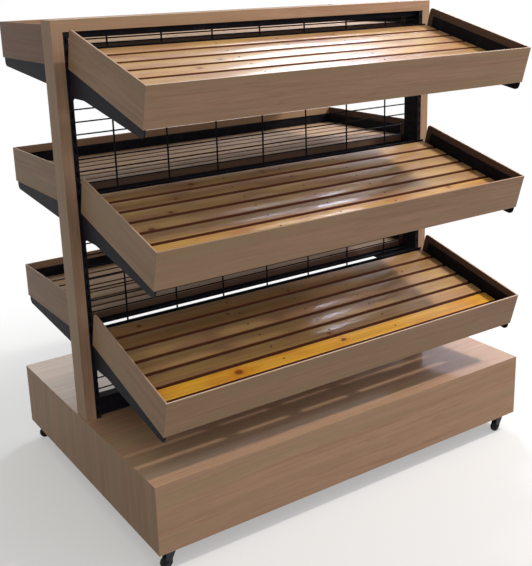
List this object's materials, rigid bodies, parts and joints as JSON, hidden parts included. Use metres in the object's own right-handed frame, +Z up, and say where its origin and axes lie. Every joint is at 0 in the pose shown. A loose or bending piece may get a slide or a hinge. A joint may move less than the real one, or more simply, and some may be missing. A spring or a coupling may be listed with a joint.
{
  "type": "bread rack",
  "caption": "double-sided shop bread rack: slatted trays, sloped in front and level behind, hung on a wire-grid portal that stands on a wood-faced plinth with castors",
  "frame": {"origin": "on the floor below the middle of the plinth, which is also the middle of the footprint to within ten millimetres", "axes": "+X to the right along the plinth seen from the front, +Y to the level rear trays, +Z up"},
  "size_m": [1.2, 0.8703, 1.258],
  "materials": {
    "laminate": "walnut-grain laminate, satin",
    "slat_wood": "varnished pine",
    "raw_wood": "planed pine",
    "black_steel": "black powder coat",
    "castor_steel": "zinc plated",
    "wheel_rubber": "matte black"
  },
  "bodies": {
    "rack": {"plinth_front": "laminate", "plinth_rear": "laminate", "plinth_left": "laminate", "plinth_right": "laminate", "plinth_top": "laminate", "post_left": "laminate", "post_right": "laminate", "header": "laminate", "castor_blocks": "raw_wood", "upright_left": "black_steel", "upright_right": "black_steel", "top_rail": "black_steel", "bottom_rail": "black_steel", "wire_grid": "black_steel", "front_bottom_fascia": "laminate", "front_bottom_side_panels": "laminate", "front_bottom_brackets": "black_steel", "front_bottom_rails": "black_steel", "front_bottom_battens": "raw_wood", "front_bottom_slats": "slat_wood", "front_middle_fascia": "laminate", "front_middle_side_panels": "laminate", "front_middle_brackets": "black_steel", "front_middle_rails": "black_steel", "front_middle_battens": "raw_wood", "front_middle_slats": "slat_wood", "front_top_fascia": "laminate", "front_top_side_panels": "laminate", "front_top_brackets": "black_steel", "front_top_rails": "black_steel", "front_top_battens": "raw_wood", "front_top_slats": "slat_wood", "rear_bottom_fascia": "laminate", "rear_bottom_side_panels": "laminate", "rear_bottom_brackets": "black_steel", "rear_bottom_rails": "black_steel", "rear_bottom_battens": "raw_wood", "rear_bottom_slats": "slat_wood", "rear_middle_fascia": "laminate", "rear_middle_side_panels": "laminate", "rear_middle_brackets": "black_steel", "rear_middle_rails": "black_steel", "rear_middle_battens": "raw_wood", "rear_middle_slats": "slat_wood", "rear_top_fascia": "laminate", "rear_top_side_panels": "laminate", "rear_top_brackets": "black_steel", "rear_top_rails": "black_steel", "rear_top_battens": "raw_wood", "rear_top_slats": "slat_wood", "castor_plates": "castor_steel"},
    "front_left_swivel": {"castor_fork_front_left": "castor_steel"},
    "front_left_wheel": {"castor_wheel_front_left": "wheel_rubber"},
    "front_right_swivel": {"castor_fork_front_right": "castor_steel"},
    "front_right_wheel": {"castor_wheel_front_right": "wheel_rubber"},
    "rear_left_swivel": {"castor_fork_rear_left": "castor_steel"},
    "rear_left_wheel": {"castor_wheel_rear_left": "wheel_rubber"},
    "rear_right_swivel": {"castor_fork_rear_right": "castor_steel"},
    "rear_right_wheel": {"castor_wheel_rear_right": "wheel_rubber"}
  },
  "joints": [
    {"name": "front_left_swivel_turn", "type": "hinge", "parent": "rack", "child": "front_left_swivel", "pos_m": [-0.56, -0.397, 0.0447], "axis": [0, 0, 1], "continuous": true},
    {"name": "front_left_wheel_spin", "type": "hinge", "parent": "front_left_swivel", "child": "front_left_wheel", "pos_m": [-0.57197, -0.39784, 0.016], "axis": [0.0698, -0.9976, 0], "continuous": true},
    {"name": "front_right_swivel_turn", "type": "hinge", "parent": "rack", "child": "front_right_swivel", "pos_m": [0.56, -0.397, 0.0447], "axis": [0, 0, 1], "continuous": true},
    {"name": "front_right_wheel_spin", "type": "hinge", "parent": "front_right_swivel", "child": "front_right_wheel", "pos_m": [0.54803, -0.39784, 0.016], "axis": [0.0698, -0.9976, 0], "continuous": true},
    {"name": "rear_left_swivel_turn", "type": "hinge", "parent": "rack", "child": "rear_left_swivel", "pos_m": [-0.56, 0.397, 0.0447], "axis": [0, 0, 1], "continuous": true},
    {"name": "rear_left_wheel_spin", "type": "hinge", "parent": "rear_left_swivel", "child": "rear_left_wheel", "pos_m": [-0.57197, 0.39616, 0.016], "axis": [0.0698, -0.9976, 0], "continuous": true},
    {"name": "rear_right_swivel_turn", "type": "hinge", "parent": "rack", "child": "rear_right_swivel", "pos_m": [0.56, 0.397, 0.0447], "axis": [0, 0, 1], "continuous": true},
    {"name": "rear_right_wheel_spin", "type": "hinge", "parent": "rear_right_swivel", "child": "rear_right_wheel", "pos_m": [0.54803, 0.39616, 0.016], "axis": [0.0698, -0.9976, 0], "continuous": true}
  ]
}
